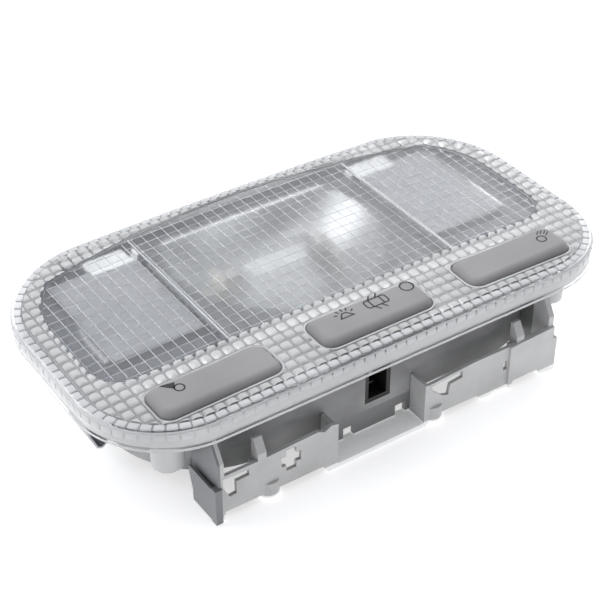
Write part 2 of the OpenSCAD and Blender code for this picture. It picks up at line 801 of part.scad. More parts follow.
// Contact leaf with the hole that a cap tip sits in
module festoon_leaf() {
    leaf_x = festoon_length / 2;
    difference() {
        union() {
            translate([leaf_x, bowl_y - 4, floor_top])
                cube([leaf_thickness, 8, festoon_leaf_top - floor_top]);
            translate([leaf_x, bowl_y - 4, floor_top]) cube([7, 8, leaf_thickness]);
        }
        translate([leaf_x - 1, bowl_y, festoon_z]) rotate([0, 90, 0])
            cylinder(r = 1.4, h = 3);
    }
}

module bulb_contact_right() color([0.8, 0.72, 0.5]) festoon_leaf();

module bulb_contact_left() color([0.8, 0.72, 0.5]) mirror([1, 0, 0]) festoon_leaf();

// Capless bulb for a map lamp: a round glass with a flat base
module wedge_bulb() {
    glass_bottom = floor_top + 4;
    translate([cup_x, cup_y, 0]) {
        translate([0, 0, glass_bottom]) rotate_extrude()
            polygon(concat([[0, 0], [wedge_r - 0.6, 0], [wedge_r, 1.5]],
                [for (a = [0 : 15 : 90]) [wedge_r * cos(a), 12.5 + wedge_r * sin(a)]]));
        translate([-4, -1.2, floor_z]) cube([8, 2.4, glass_bottom - floor_z + eps]);
    }
}

module bulb_right() color([0.9, 0.92, 0.95, 0.5]) wedge_bulb();

module bulb_left() color([0.9, 0.92, 0.95, 0.5]) mirror([1, 0, 0]) wedge_bulb();

// Bulb holder, put in from the roof side and turned to lock
module bulb_holder() {
    cup_bottom = floor_top + 4 - fit_gap;
    translate([cup_x, cup_y, 0]) difference() {
        union() {
            translate([0, 0, floor_z - 4]) cylinder(r = holder_r, h = floor_top + 8 - floor_z);
            translate([0, 0, floor_z - 1.8]) cylinder(r = holder_r + 2, h = 1.8);
            translate([-holder_r, -1.4, floor_z - 8]) cube([2 * holder_r, 2.8, 5]);
        }
        translate([0, 0, cup_bottom]) cylinder(r = wedge_r + fit_gap, h = 10);
        translate([-4 - fit_gap, -1.2 - fit_gap, floor_z - fit_gap])
            cube([8 + 2 * fit_gap, 2.4 + 2 * fit_gap, 12]);
    }
}

module bulb_holder_right() color([0.85, 0.84, 0.8]) bulb_holder();

module bulb_holder_left() color([0.85, 0.84, 0.8]) mirror([1, 0, 0]) bulb_holder();

// Key: a hollow cap with two stub pins that point inwards
module key_cap(key_x, pin_x) {
    top_z = key_top_z(key_x);
    translate([key_x, key_row_y, 0]) {
        difference() {
            translate([0, 0, top_z - key_height])
                slab(key_length, key_width, key_corner, key_height);
            translate([0, 0, top_z - key_height - 1])
                slab(key_length - 2 * key_wall, key_width - 2 * key_wall, key_corner - key_wall,
                    key_height - key_roof + 1);
        }
        for (side = [-1, 1])
            translate([pin_x, side * (key_width / 2 - key_wall / 2), pivot_z(key_x)])
                rotate([side * 90, 0, 0])
                    cylinder(r = pivot_r, h = key_wall / 2 + post_gap + 2.2);
    }
}

// Rib under the roof of a key that works the contact
module key_nose(key_x, nose_x) {
    translate([key_x + nose_x - 0.8, key_row_y - 3, key_top_z(key_x) - key_height + 0.4])
        cube([1.6, 6, key_height - key_roof]);
}

module key_left() color([0.64, 0.635, 0.64]) {
    key_cap(key_x(-1), pivot_offset);
    key_nose(key_x(-1), -2);
}

module key_middle() color([0.64, 0.635, 0.64]) {
    key_cap(key_x(0), 0);
    key_nose(key_x(0), 13);
}

module key_right() color([0.64, 0.635, 0.64]) {
    key_cap(key_x(1), -pivot_offset);
    key_nose(key_x(1), 2);
}

// Spring contact on the deck: a flat foot, a raised end, and a tail through the deck
module key_contact(start_x, way) {
    tail = [start_x, deck_top + leaf_thickness / 2];
    translate([0, key_row_y + 2, 0]) rotate([90, 0, 0]) linear_extrude(4)
        polygon(strip_outline([[tail[0], deck_z - 3], tail, tail + way * [4, 0],
            tail + [way * 8, 0.7], tail + [way * 10.5, 0.3]], leaf_thickness));
}

module key_contact_left() color([0.8, 0.72, 0.5]) key_contact(tail_x(-1), -1);

module key_contact_middle() color([0.8, 0.72, 0.5]) key_contact(tail_x(0), 1);

module key_contact_right() color([0.8, 0.72, 0.5]) key_contact(tail_x(1), 1);

// Stamped strips under the lamp floor
module floor_strip(from, to) {
    low = [min(from[0], to[0]), min(from[1], to[1])];
    high = [max(from[0], to[0]), max(from[1], to[1])];
    translate([low[0] - strip_width / 2, low[1] - strip_width / 2, floor_z - strip_thickness])
        cube([high[0] - low[0] + strip_width, high[1] - low[1] + strip_width, strip_thickness]);
}

module strip_common() color([0.78, 0.7, 0.5]) {
    floor_strip([-cup_x + 12.6, 21], [cup_x - 12.6, 21]);
    floor_strip([0, 21], [0, -18]);
}

module strip_left() color([0.78, 0.7, 0.5]) {
    floor_strip([-10, -18], [-10, cup_y - 8]);
    floor_strip([-10, cup_y - 8], [-cup_x + 12.6, cup_y - 8]);
}

module strip_right() color([0.78, 0.7, 0.5]) {
    floor_strip([10, -18], [10, cup_y - 8]);
    floor_strip([10, cup_y - 8], [cup_x - 12.6, cup_y - 8]);
}

module strip_middle() color([0.78, 0.7, 0.5]) {
    floor_strip([18, -18], [18, -4]);
    floor_strip([18, -4], [30, -4]);
}

// Puts a shape at each of the three connector pins
module at_pins() {
    for (i = [-1 : 1])
        translate([(socket_left + socket_right) / 2, tub_front + pin_recess,
            (socket_bottom + socket_top) / 2 + i * pin_pitch]) children();
}

// A pin, or the slot that it passes through, grown by a gap all round
module pin_blade(gap) {
    translate([-pin_width / 2 - gap, 0, -pin_thickness / 2 - gap])
        cube([pin_width + 2 * gap, pin_length + 2 * gap, pin_thickness + 2 * gap]);
}

// Connector: a black inlet behind the window in the recess
module connector_housing() color([0.08, 0.08, 0.09])
    difference() {
        translate([socket_left + fit_gap, tub_front + fit_gap, socket_bottom + fit_gap])
            cube([socket_right - socket_left - 2 * fit_gap, connector_depth,
                socket_top - socket_bottom - 2 * fit_gap]);
        translate([socket_left + connector_wall, tub_front - 1, socket_bottom + connector_wall])
            cube([socket_right - socket_left - 2 * connector_wall, connector_hollow + 1,
                socket_top - socket_bottom - 2 * connector_wall]);
        at_pins() pin_blade(pin_gap);
    }

module connector_pins() color([0.82, 0.82, 0.8]) at_pins() pin_blade(0);

// Spring clip at an end of the tub, bent from one strip
module end_clip() {
    wall_x = tub_length / 2 + clip_thickness / 2;
    translate([0, clip_width / 2, 0]) rotate([90, 0, 0]) linear_extrude(clip_width)
        polygon(strip_outline([[wall_x, deck_z - 4], [wall_x, 10], [wall_x + 0.8, 7.6],
            [wall_x + 2.4, 6.6], [wall_x + 3.8, 7.2], [wall_x + clip_reach - 0.7, 12.6],
            [wall_x + clip_reach, 17.5], [wall_x + clip_reach - 1.8, 23],
            [wall_x + clip_reach - 3.6, 26]], clip_thickness));
}

module clip_right() color([0.6, 0.62, 0.65]) end_clip();

module clip_left() color([0.6, 0.62, 0.65]) mirror([1, 0, 0]) end_clip();

lens();
housing();
deck_plate();
lamp_tray();
front_frame();
reflector_middle();
reflector_left();
reflector_right();
diffuser_left();
diffuser_right();
bulb_middle();
bulb_middle_caps();
bulb_left();
bulb_right();
bulb_holder_left();
bulb_holder_right();
bulb_contact_left();
bulb_contact_right();
key_left();
key_middle();
key_right();
key_contact_left();
key_contact_middle();
key_contact_right();
strip_common();
strip_left();
strip_middle();
strip_right();
connector_housing();
connector_pins();
clip_left();
clip_right();
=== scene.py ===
import math

import bmesh
import bpy
from mathutils import Matrix, Vector


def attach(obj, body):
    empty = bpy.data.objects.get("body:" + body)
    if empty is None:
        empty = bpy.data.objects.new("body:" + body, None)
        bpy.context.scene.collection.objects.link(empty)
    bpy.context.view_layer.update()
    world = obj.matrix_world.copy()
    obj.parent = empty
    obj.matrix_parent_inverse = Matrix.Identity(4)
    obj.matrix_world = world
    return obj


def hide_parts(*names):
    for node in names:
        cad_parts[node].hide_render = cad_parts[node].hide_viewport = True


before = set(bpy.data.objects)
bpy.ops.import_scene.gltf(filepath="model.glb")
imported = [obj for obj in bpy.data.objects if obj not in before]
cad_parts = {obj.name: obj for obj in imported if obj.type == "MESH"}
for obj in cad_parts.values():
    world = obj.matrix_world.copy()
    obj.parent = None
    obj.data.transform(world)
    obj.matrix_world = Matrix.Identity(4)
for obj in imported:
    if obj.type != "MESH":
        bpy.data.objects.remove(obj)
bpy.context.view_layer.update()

# The camera stands front left of the lamp and looks down at it through a
# long lens, as a catalogue photographer would.
camera_place = (-0.22987, -0.33563, 0.32914)
camera_data = bpy.data.cameras.new("photo_camera")
camera_data.lens = 94.56
camera_data.sensor_width = 36.0
camera_data.clip_start = 0.01
camera = bpy.data.objects.new("photo_camera", camera_data)
bpy.context.scene.collection.objects.link(camera)
camera_right = Vector((0.8285, -0.5601, 0.0)).normalized()
camera_back = Vector((-0.4488, -0.6639, 0.5982)).normalized()
camera_right = (camera_right - camera_right.dot(camera_back) * camera_back).normalized()
camera_up = camera_back.cross(camera_right)
camera.matrix_world = Matrix((
    (camera_right.x, camera_up.x, camera_back.x, camera_place[0]),
    (camera_right.y, camera_up.y, camera_back.y, camera_place[1]),
    (camera_right.z, camera_up.z, camera_back.z, camera_place[2]),
    (0.0, 0.0, 0.0, 1.0),
))
bpy.context.scene.camera = camera
bpy.context.scene.view_settings.view_transform = "Standard"

# The lamp lies with its lens up on a pale sheet, which is lit a little from
# below and wide enough to fill every view.
floor_size = 6.0
floor_glow = 0.5
bpy.ops.object.select_all(action="DESELECT")
bpy.ops.mesh.primitive_plane_add(size=floor_size, location=(0, 0, 0))
floor = bpy.context.object
floor.name = "studio_floor"
floor_paper = bpy.data.materials.new("pale_paper")
floor_paper.use_nodes = True
paper_shader = floor_paper.node_tree.nodes["Principled BSDF"]
paper_shader.inputs["Base Color"].default_value = (0.85, 0.85, 0.86, 1.0)
paper_shader.inputs["Roughness"].default_value = 0.9
paper_shader.inputs["Specular IOR Level"].default_value = 0.1
paper_shader.inputs["Emission Color"].default_value = (1.0, 1.0, 1.0, 1.0)
paper_shader.inputs["Emission Strength"].default_value = floor_glow
floor.data.materials.append(floor_paper)

# Light comes from a white room that is darker on the camera's side, from a
# large soft box high above and from one behind each end of the lamp.
room_dim = 0.30
room_bright = 0.58
room_turn = (0.56, 0.83, 0.0)
room_colour = (0.97, 0.98, 1.0, 1.0)
room = bpy.data.worlds.new("white_room")
room.use_nodes = True
room_nodes = room.node_tree.nodes
room_links = room.node_tree.links
room_way = room_nodes.new("ShaderNodeTexCoord")
room_depth = room_nodes.new("ShaderNodeVectorMath")
room_depth.operation = "DOT_PRODUCT"
room_depth.inputs[1].default_value = room_turn
room_level = room_nodes.new("ShaderNodeMapRange")
room_level.inputs["From Min"].default_value = -1.0
room_level.inputs["To Min"].default_value = room_dim
room_level.inputs["To Max"].default_value = room_bright
room_links.new(room_way.outputs["Generated"], room_depth.inputs[0])
room_links.new(room_depth.outputs["Value"], room_level.inputs["Value"])
room_links.new(room_level.outputs["Result"], room_nodes["Background"].inputs["Strength"])
room_nodes["Background"].inputs["Color"].default_value = room_colour
bpy.context.scene.world = room


def soft_box(name, size, power, place):
    """A soft box that lights the middle of the lamp but isn't mirrored in it."""
    lamp_middle = Vector((0, 0, 0.03))
    box_light = bpy.data.lights.new(name, "AREA")
    box_light.shape = "RECTANGLE"
    box_light.size = size[0]
    box_light.size_y = size[1]
    box_light.energy = power
    box = bpy.data.objects.new(name, box_light)
    box.location = place
    box.rotation_euler = (Vector(place) - lamp_middle).to_track_quat("Z", "Y").to_euler()
    box.visible_glossy = False
    bpy.context.scene.collection.objects.link(box)


soft_box("top_soft_box", (2.0, 1.4), 11.5, (0.05, 0.25, 1.35))
soft_box("right_soft_box", (0.55, 0.55), 5.6, (0.76, 0.58, 0.70))
soft_box("left_soft_box", (0.50, 0.50), 4.6, (-0.74, 0.58, 0.62))


# The lamp tray is the floor of the three lamp chambers, with the walls between
# them. It is slightly milky plastic, and on the real lamp it is most likely one
# moulding with the front frame, the tub and the deck, which follow.
def moulded_finish(name, dark, light, roughness, grain_size=0.0012, grain_depth=0.05):
    """A smooth surface: faint clouds in the colour, fine grain in the relief and the gloss."""
    cloud_scale = 45.0
    relief_height = 0.0003
    finish = bpy.data.materials.new(name)
    finish.use_nodes = True
    nodes = finish.node_tree.nodes
    links = finish.node_tree.links
    shader = nodes["Principled BSDF"]
    place = nodes.new("ShaderNodeTexCoord")
    clouds = nodes.new("ShaderNodeTexNoise")
    clouds.inputs["Scale"].default_value = cloud_scale
    clouds.inputs["Detail"].default_value = 4.0
    tint = nodes.new("ShaderNodeValToRGB")
    tint.color_ramp.elements[0].position = 0.3
    tint.color_ramp.elements[0].color = (*dark, 1.0)
    tint.color_ramp.elements[1].position = 0.7
    tint.color_ramp.elements[1].color = (*light, 1.0)
    grain = nodes.new("ShaderNodeTexNoise")
    grain.inputs["Scale"].default_value = 1.0 / grain_size
    grain.inputs["Detail"].default_value = 3.0
    gloss = nodes.new("ShaderNodeMapRange")
    gloss.inputs["To Min"].default_value = roughness * 0.8
    gloss.inputs["To Max"].default_value = roughness * 1.2
    relief = nodes.new("ShaderNodeBump")
    relief.inputs["Strength"].default_value = grain_depth
    relief.inputs["Distance"].default_value = relief_height
    links.new(place.outputs["Object"], clouds.inputs["Vector"])
    links.new(clouds.outputs["Fac"], tint.inputs["Fac"])
    links.new(tint.outputs["Color"], shader.inputs["Base Color"])
    links.new(place.outputs["Object"], grain.inputs["Vector"])
    links.new(grain.outputs["Fac"], gloss.inputs["Value"])
    links.new(gloss.outputs["Result"], shader.inputs["Roughness"])
    links.new(grain.outputs["Fac"], relief.inputs["Height"])
    links.new(relief.outputs["Normal"], shader.inputs["Normal"])
    return finish


def shader_of(finish):
    """The surface shader of a finish."""
    return finish.node_tree.nodes["Principled BSDF"]


def dress(node, finish):
    """Give a finish to every material slot of a node of the frame."""
    for slot in bpy.data.objects[node].material_slots:
        slot.material = finish


milky_plastic = moulded_finish("milky_plastic", (0.55, 0.552, 0.552), (0.65, 0.652, 0.652), 0.35)
milky_share = 0.35
milky_depth = (0.004, 0.004, 0.004)
shader_of(milky_plastic).inputs["Subsurface Weight"].default_value = milky_share
shader_of(milky_plastic).inputs["Subsurface Radius"].default_value = milky_depth
shader_of(milky_plastic).inputs["Subsurface Scale"].default_value = 1.0
dress("lamp_tray", milky_plastic)

# The front frame is the visible front of the housing, in the same plastic: two
# pierced panels with a recess between them. Painted shade darkens the back wall
# of the recess, painted light with a glow brightens its floor and the other
# lowest faces, and painted shade darkens the left end of the frame.
frame_plastic = moulded_finish("frame_plastic", (0.46, 0.462, 0.462), (0.68, 0.682, 0.682), 0.35)
recess_painted_shade = (0.26, 0.262, 0.264)
recess_painted_light = (0.92, 0.925, 0.925)
recess_painted_glow = 0.16
recess_back = -0.0400
recess_floor = 0.0020
end_shade_grey = (0.22, 0.226, 0.24)
end_shade_start = -0.0628

# numbers of the colour sockets of a mix node
mix_under = 6
mix_over = 7
mix_result = 2


def tint_where(finish, tests, colour, glow=0.0):
    """Put a colour over a finish where the place passes every test of axis, way and limit.

    A glow adds painted light there: an emission from plastic that is no lamp.
    """
    shader = shader_of(finish)
    nodes = finish.node_tree.nodes
    links = finish.node_tree.links
    place = nodes.new("ShaderNodeTexCoord")
    axes = nodes.new("ShaderNodeSeparateXYZ")
    mix = nodes.new("ShaderNodeMix")
    mix.data_type = "RGBA"
    mix.inputs[mix_over].default_value = (*colour, 1.0)
    links.new(place.outputs["Object"], axes.inputs["Vector"])
    share = None
    for axis, way, limit in tests:
        test = nodes.new("ShaderNodeMath")
        test.operation = way
        test.inputs[1].default_value = limit
        links.new(axes.outputs[axis], test.inputs[0])
        if share is None:
            share = test.outputs["Value"]
            continue
        both = nodes.new("ShaderNodeMath")
        both.operation = "MULTIPLY"
        links.new(share, both.inputs[0])
        links.new(test.outputs["Value"], both.inputs[1])
        share = both.outputs["Value"]
    links.new(share, mix.inputs["Factor"])
    links.new(shader.inputs["Base Color"].links[0].from_socket, mix.inputs[mix_under])
    links.new(mix.outputs[mix_result], shader.inputs["Base Color"])
    if glow > 0:
        shining = nodes.new("ShaderNodeMath")
        shining.operation = "MULTIPLY"
        shining.inputs[1].default_value = glow
        links.new(share, shining.inputs[0])
        links.new(shining.outputs["Value"], shader.inputs["Emission Strength"])
        shader.inputs["Emission Color"].default_value = (*colour, 1.0)


# painted shade on the back wall of the recess
tint_where(frame_plastic, [("Y", "GREATER_THAN", recess_back)], recess_painted_shade)
# painted light with a glow on the floor of the recess and the other lowest faces
tint_where(frame_plastic, [("Z", "LESS_THAN", recess_floor), ("X", "GREATER_THAN", end_shade_start)],
           recess_painted_light, recess_painted_glow)
# painted shade on the left end of the frame
tint_where(frame_plastic, [("X", "LESS_THAN", end_shade_start)], end_shade_grey)
dress("front_frame", frame_plastic)

# The tub is the outer wall of the housing, with legs and hooks along its back.
# It is the same plastic, painted darker all over as shade, and the painted shade
# deepens on the front wall, close under the lens.
tub_plastic_painted_shade = moulded_finish("tub_plastic_painted_shade", (0.26, 0.262, 0.264), (0.46, 0.462, 0.465), 0.32)
tub_front_wall = -0.037
shade_low = 0.014
shade_high = 0.026
shade_grey = (0.50, 0.50, 0.515)


def shade_front_wall(finish):
    """Paint shade on the front wall of the tub, deeper little by little towards the lens."""
    shader = shader_of(finish)
    nodes = finish.node_tree.nodes
    links = finish.node_tree.links
    place = nodes.new("ShaderNodeTexCoord")
    axes = nodes.new("ShaderNodeSeparateXYZ")
    at_front = nodes.new("ShaderNodeMath")
    at_front.operation = "LESS_THAN"
    at_front.inputs[1].default_value = tub_front_wall
    rise = nodes.new("ShaderNodeMapRange")
    rise.inputs["From Min"].default_value = shade_low
    rise.inputs["From Max"].default_value = shade_high
    share = nodes.new("ShaderNodeMath")
    share.operation = "MULTIPLY"
    shade = nodes.new("ShaderNodeMix")
    shade.data_type = "RGBA"
    shade.blend_type = "MULTIPLY"
    shade.inputs[mix_over].default_value = (*shade_grey, 1.0)
    links.new(place.outputs["Object"], axes.inputs["Vector"])
    links.new(axes.outputs["Y"], at_front.inputs[0])
    links.new(axes.outputs["Z"], rise.inputs["Value"])
    links.new(at_front.outputs["Value"], share.inputs[0])
    links.new(rise.outputs["Result"], share.inputs[1])
    links.new(share.outputs["Value"], shade.inputs["Factor"])
    links.new(shader.inputs["Base Color"].links[0].from_socket, shade.inputs[mix_under])
    links.new(shade.outputs[mix_result], shader.inputs["Base Color"])


shade_front_wall(tub_plastic_painted_shade)
dress("housing", tub_plastic_painted_shade)

# The deck closes the tub, carries the key posts and has the screw bosses under
# it. Where it shows through the windows its top is painted grey as shade, and the
# two lugs behind the frosted plates, close under the lens, get a painted white
# highlight with a glow.
deck_plastic = moulded_finish("deck_plastic", (0.57, 0.572, 0.572), (0.67, 0.672, 0.672), 0.35)
deck_painted_shade = (0.24, 0.247, 0.285)
deck_shade_from = 0.0322
lug_painted_highlight = (0.97, 0.98, 0.99)
lug_painted_glow = 0.30
lug_front = 0.0345
lug_head = 0.0362
lug_end = 0.0591
on_deck = ("Z", "GREATER_THAN", deck_shade_from)
# painted shade on the top of the deck
tint_where(deck_plastic, [on_deck], deck_painted_shade)
# painted highlight with a glow on the lugs
tint_where(deck_plastic, [("Y", "GREATER_THAN", lug_front), ("Z", "GREATER_THAN", lug_head)],
           lug_painted_highlight, lug_painted_glow)

# painted light: a narrow band of the deck beside the left frosted plate is painted
# lighter where light passes beside the plate
band_painted_light = (0.44, 0.45, 0.48)
band_low = (-0.0430, -0.0120)
band_high = (-0.0385, 0.0280)
in_band = [("X", "GREATER_THAN", band_low[0]), ("X", "LESS_THAN", band_high[0]),
           ("Y", "GREATER_THAN", band_low[1]), ("Y", "LESS_THAN", band_high[1])]
tint_where(deck_plastic, [on_deck, *in_band], band_painted_light)
dress("deck_plate", deck_plastic)


# Current runs through stamped brass, tinned so that it looks pale: strips under
# the floor of the tray, a leaf at each end of the middle bulb and a spring
# contact on the deck under each key.
def metal_finish(name, dark, light, roughness, grain_size, grain_depth, metallic=1.0):
    """A metal surface, or one with a metal coat."""
    finish = moulded_finish(name, dark, light, roughness, grain_size, grain_depth)
    shader_of(finish).inputs["Metallic"].default_value = metallic
    return finish


strip_brass = metal_finish(
    "strip_brass", (0.70, 0.67, 0.60), (0.80, 0.77, 0.70), 0.3, 0.003, 0.06)
for node in ("strip_common", "strip_left", "strip_middle", "strip_right",
             "bulb_contact_left", "bulb_contact_right",
             "key_contact_left", "key_contact_middle", "key_contact_right"):
    dress(node, strip_brass)

# The plug socket is a black moulding in the window of the tub, at the back of
# the recess. It is open to the front and its three tinned pins pass through
# its back.
socket_black = moulded_finish("socket_black", (0.012, 0.011, 0.011), (0.022, 0.020, 0.019), 0.4)
dress("connector_housing", socket_black)
pin_tin = metal_finish("pin_tin", (0.60, 0.60, 0.60), (0.72, 0.72, 0.71), 0.22, 0.002, 0.04)
dress("connector_pins", pin_tin)

# A clip bent from one strip of spring steel lies against each end wall of the
# tub and holds the lamp up in the roof.
spring_steel = metal_finish(
    "spring_steel", (0.36, 0.37, 0.39), (0.48, 0.49, 0.51), 0.3, 0.002, 0.06)
for node in ("clip_left", "clip_right"):
    dress(node, spring_steel)

# The middle reflector is a bowl in hard plastic, coated with bright
# aluminium. It drops into the middle chamber and its flange rests on the deck.
silver_coat = moulded_finish(
    "silver_coat", (0.88, 0.89, 0.91), (0.96, 0.97, 0.98), 0.42, 0.004, 0.03)
bowl_middle = (0.0, 0.020, 0.0)
bowl_reach = 0.0365
coat_fade = 0.0002
# outside the rim of the bowl the flange is painted grey as shade
flange_painted_shade = (0.24, 0.245, 0.268)


def mask_flange(finish):
    """Leave the bright coat off everything outside the rim of the bowl and paint grey shade there
    instead.
    """
    shader = shader_of(finish)
    nodes = finish.node_tree.nodes
    links = finish.node_tree.links
    place = nodes.new("ShaderNodeTexCoord")
    offset = nodes.new("ShaderNodeVectorMath")
    offset.operation = "SUBTRACT"
    offset.inputs[1].default_value = bowl_middle
    flat = nodes.new("ShaderNodeVectorMath")
    flat.operation = "MULTIPLY"
    flat.inputs[1].default_value = (1, 1, 0)
    reach = nodes.new("ShaderNodeVectorMath")
    reach.operation = "LENGTH"
    coat = nodes.new("ShaderNodeMapRange")
    coat.inputs["From Min"].default_value = bowl_reach
    coat.inputs["From Max"].default_value = bowl_reach + coat_fade
    coat.inputs["To Min"].default_value = 1.0
    coat.inputs["To Max"].default_value = 0.0
    colour = nodes.new("ShaderNodeMix")
    colour.data_type = "RGBA"
    colour.inputs[mix_under].default_value = (*flange_painted_shade, 1.0)
    bright = shader.inputs["Base Color"].links[0].from_socket
    links.new(place.outputs["Object"], offset.inputs[0])
    links.new(offset.outputs["Vector"], flat.inputs[0])
    links.new(flat.outputs["Vector"], reach.inputs[0])
    links.new(reach.outputs["Value"], coat.inputs["Value"])
    links.new(coat.outputs["Result"], shader.inputs["Metallic"])
    links.new(coat.outputs["Result"], colour.inputs["Factor"])
    links.new(bright, colour.inputs[mix_over])
    links.new(colour.outputs[mix_result], shader.inputs["Base Color"])


mask_flange(silver_coat)
# the same band of painted light on the reflector
tint_where(silver_coat, in_band, band_painted_light)
dress("reflector_middle", silver_coat)

# The two end reflectors are smaller cups of the same make, one under each
# map lamp window.
cup_coat = metal_finish(
    "cup_coat", (0.74, 0.75, 0.78), (0.84, 0.85, 0.87), 0.3, 0.004, 0.03, 0.85)
for node in ("reflector_left", "reflector_right"):
    dress(node, cup_coat)

# A white holder is put in under each end cup from the roof side and turned to
# lock. It grips the flat base of the map lamp bulb.
holder_plastic = moulded_finish("holder_plastic", (0.62, 0.62, 0.60), (0.70, 0.70, 0.68), 0.4)
for node in ("bulb_holder_left", "bulb_holder_right"):
    dress(node, holder_plastic)


# The middle bulb is a festoon: a clear glass tube with a metal cap on each
# end, held between two contact leaves. The map lamp bulbs are blown glass,
# pressed flat at the base.
def clear_finish(name, dark, light, roughness, clearness, grain_size=0.003, grain_depth=0.03):
    """A glass or clear plastic; clearness is the share of the light that goes through."""
    finish = moulded_finish(name, dark, light, roughness, grain_size, grain_depth)
    shader_of(finish).inputs["Transmission Weight"].default_value = clearness
    shader_of(finish).inputs["IOR"].default_value = 1.45
    return finish


bulb_glass = clear_finish(
    "bulb_glass", (0.95, 0.96, 0.97), (1.0, 1.0, 1.0), 0.03, 1.0, 0.004, 0.02)
for node in ("bulb_middle", "bulb_left", "bulb_right"):
    dress(node, bulb_glass)
cap_metal = metal_finish("cap_metal", (0.62, 0.61, 0.60), (0.75, 0.74, 0.73), 0.25, 0.002, 0.05)
dress("bulb_middle_caps", cap_metal)

# Each end window has a frosted plate under it, which spreads the light of the
# map lamp. It lies on the flange of the cup, in front of the lug, and its edge
# beside the lug gets the same painted highlight and glow as the lug.
frosted_plate = moulded_finish("frosted_plate", (0.51, 0.52, 0.56), (0.57, 0.58, 0.62), 0.45)
# painted highlight with a glow on the edge of the plate beside the lug
plate_lit_from = 0.0334
tint_where(frosted_plate, [("Y", "GREATER_THAN", plate_lit_from), ("X", "GREATER_THAN", -lug_end),
                           ("X", "LESS_THAN", lug_end)], lug_painted_highlight, lug_painted_glow)
for node in ("diffuser_left", "diffuser_right"):
    dress(node, frosted_plate)

# The lens is one clear acrylic moulding that covers the whole lamp and snaps
# over the deck. Its border and skirt are beaded, its windows have square
# optics pressed into them and each key has an opening with a lip.
lens_low = Vector((-0.0929, -0.0494, 0.0335))
lens_high = Vector((0.0929, 0.0494, 0.0415))
lens_front_corner = 0.0304
lens_back_corner = 0.0354
lens_wall = 0.0024
upper_edge_radius = 0.0012
lip_width = 0.0006
lip_height = 0.0009
crown_radius = 2.18661
crown_from = 0.037
field_low = Vector((-0.0830, -0.0199, 0))
field_high = Vector((0.0830, 0.0446, 0))
field_front_corner = 0.011
field_back_corner = 0.032
field_bow = 0.3
divider_x = 0.042
divider_back = 0.0420
divider_width = 0.0006
divider_overlap = 0.0005
rib_width = 0.0011
rib_height = 0.0005
rib_root = 0.0405
key_places = (-0.0562, -0.0012, 0.0538)
key_row = -0.03495
opening_half = (0.0205, 0.0074)
opening_corner = 0.0042
opening_low = 0.030
opening_high = 0.045

# heights and depths of the grooves and beads are measured from the face
# before it is crowned
optic_step = (0.0038, 0.0040)
optic_start = (0.0009, 0.0013)
groove_half_width = 0.00024
groove_half_length = 0.1
groove_depth = 0.00016
groove_top = 0.0001
groove_taper = 0.1
optic_clearance = 0.0001
bead_step = (0.0038, 0.0041)
bead_start = (-0.0012, -0.0223)
bead_gap = 0.00016
bead_root = 0.0004
bead_height = 0.0007
bead_radius = 0.00109
bead_clearance = 0.0005
edge_row_inset = 0.0034
edge_row_start = 0.0010
edge_row_gap = 0.0002
edge_bead_half = 0.00168
edge_bead_root = 0.0006
edge_bead_height = 0.0005
edge_bead_radius = 0.00052
skirt_bead_half = 0.0017
skirt_bead_in = 0.0004
skirt_bead_out = 0.0002
skirt_bead_high = -0.0009
skirt_bead_low = -0.0030
skirt_bead_radius = 0.0002

# tools that trim the face reach from tool_low to tool_high, and a hair is too
# small to matter where two places are compared
tool_low = 0.040
tool_high = 0.043
hair = 1e-5

# a face is upright, slanting or level by how much its normal points up or down
upright = 0.1
slanting = 0.3
level = 0.9

lens_clear = clear_finish("lens_clear", (0.95, 0.96, 0.97), (0.99, 0.995, 1.0), 0.08, 1.0)
bead_clear = clear_finish("bead_clear", (0.88, 0.89, 0.895), (0.95, 0.955, 0.96), 0.12, 0.5)
optic_edge = clear_finish("optic_edge", (0.74, 0.75, 0.78), (0.84, 0.85, 0.88), 0.2, 0.45)
pillow_optics = clear_finish("pillow_optics", (0.95, 0.96, 0.97), (0.99, 0.995, 1.0), 0.38, 1.0)
# the seam finish is darkened with painted shade
seam_clear_painted_shade = clear_finish("seam_clear_painted_shade", (0.50, 0.505, 0.52), (0.60, 0.605, 0.62), 0.2, 0.5)
# the rim finish is darkened with painted shade
rim_clear_painted_shade = clear_finish("rim_clear_painted_shade", (0.60, 0.61, 0.63), (0.72, 0.73, 0.75), 0.2, 0.2)
lens_finishes = (lens_clear, bead_clear, optic_edge, pillow_optics, seam_clear_painted_shade, rim_clear_painted_shade)


def finish_all_over(piece, finish):
    """Load a piece with the finishes of the lens and put one of them all over it."""
    for each in lens_finishes:
        piece.data.materials.append(each)
    for face in piece.data.polygons:
        face.material_index = lens_finishes.index(finish)


def plain_block(name, low, high):
    """A block between two corners, alone in the selection."""
    bpy.ops.object.select_all(action="DESELECT")
    low, high = Vector(low), Vector(high)
    bpy.ops.mesh.primitive_cube_add(size=1, location=(low + high) / 2, scale=high - low)
    bpy.ops.object.transform_apply(location=True, rotation=True, scale=True)
    block = bpy.context.object
    block.name = name
    return block


def select_parts(block, kind, wanted):
    """In edit mode, select the faces or edges that pass a test, and nothing else."""
    bpy.ops.mesh.select_mode(type=kind)
    bpy.ops.mesh.select_all(action="DESELECT")
    shape = bmesh.from_edit_mesh(block.data)
    parts = shape.faces if kind == "FACE" else shape.edges
    for part in parts:
        if wanted(part):
            part.select_set(True)
    bmesh.update_edit_mesh(block.data)


def lowest(part):
    """Height of the lowest point of an edge or face."""
    return min(vertex.co.z for vertex in part.verts)


def highest(part):
    """Height of the highest point of an edge or face."""
    return max(vertex.co.z for vertex in part.verts)


def is_upright(edge):
    """Whether an edge runs straight up."""
    way = edge.verts[0].co - edge.verts[1].co
    return abs(way.z) > hair and abs(way.x) < hair and abs(way.y) < hair


